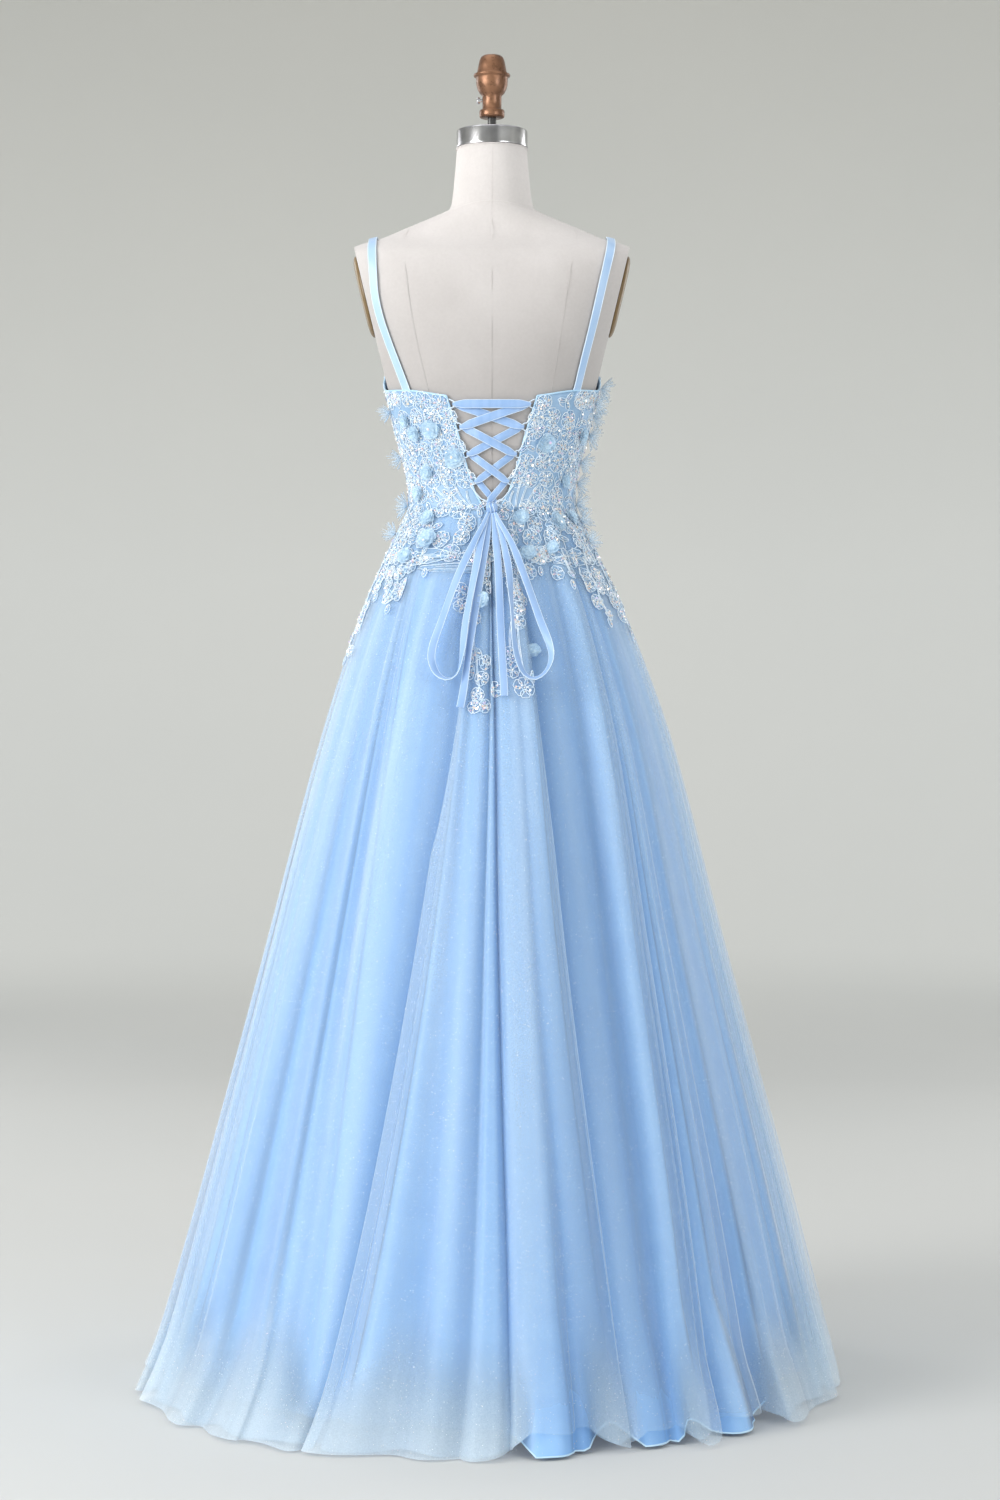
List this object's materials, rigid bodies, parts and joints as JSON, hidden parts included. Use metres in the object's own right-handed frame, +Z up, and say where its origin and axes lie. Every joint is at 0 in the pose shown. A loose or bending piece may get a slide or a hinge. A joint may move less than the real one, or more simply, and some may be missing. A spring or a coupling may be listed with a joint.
{
  "type": "ball gown on a dress form",
  "caption": "Floor-length sleeveless ball gown with a laced lace bodice and a full tulle skirt, standing on a limbless dress form.",
  "frame": {"origin": "middle of the stand's underside, on the floor", "axes": "+Z up; the gown faces -Y, its laced back faces +Y, and the wearer's left is +X"},
  "size_m": [0.9573, 0.9588, 1.8074],
  "materials": {
    "tulle": "sheer glitter tulle",
    "satin": "satin",
    "lace": "corded and sequinned lace on tulle",
    "ribbon": "satin ribbon",
    "linen": "plain linen cover",
    "steel": "polished, turned",
    "bronze": "aged bronze",
    "black_steel": "black satin paint",
    "wood": "varnished"
  },
  "bodies": {
    "root": {"bodice_back_left": "lace", "bodice_back_right": "lace", "bodice_front_centre": "lace", "bodice_front_left": "lace", "bodice_front_right": "lace", "bodice_side_left": "lace", "bodice_side_right": "lace", "bow_knot": "ribbon", "bow_loop_left": "ribbon", "bow_loop_right": "ribbon", "bow_tail_left": "ribbon", "bow_tail_right": "ribbon", "flower_back_1": "tulle", "flower_back_2": "tulle", "flower_back_3": "tulle", "flower_back_4": "tulle", "flower_back_5": "tulle", "flower_front_1": "tulle", "flower_front_2": "tulle", "flower_front_3": "tulle", "flower_front_4": "tulle", "flower_front_5": "tulle", "flower_side_left": "tulle", "flower_side_right_1": "tulle", "flower_side_right_2": "tulle", "form_armhole_plate_left": "wood", "form_armhole_plate_right": "wood", "form_base": "black_steel", "form_clamp_screw": "steel", "form_finial": "bronze", "form_neck_cap": "steel", "form_pole": "black_steel", "form_rod": "black_steel", "form_torso": "linen", "hip_lace_back_left": "lace", "hip_lace_back_right": "lace", "hip_lace_front_left": "lace", "hip_lace_front_right": "lace", "lacing_a1": "ribbon", "lacing_a2": "ribbon", "lacing_a3": "ribbon", "lacing_a4": "ribbon", "lacing_b1": "ribbon", "lacing_b2": "ribbon", "lacing_b3": "ribbon", "lacing_b4": "ribbon", "lacing_top_bar": "ribbon", "lining_back_left": "satin", "lining_back_right": "satin", "lining_front": "satin", "loop_tape_left": "ribbon", "loop_tape_right": "ribbon", "strap_left": "satin", "strap_right": "satin", "tulle_back_left": "tulle", "tulle_back_right": "tulle", "tulle_front": "tulle"}
  },
  "joints": []
}
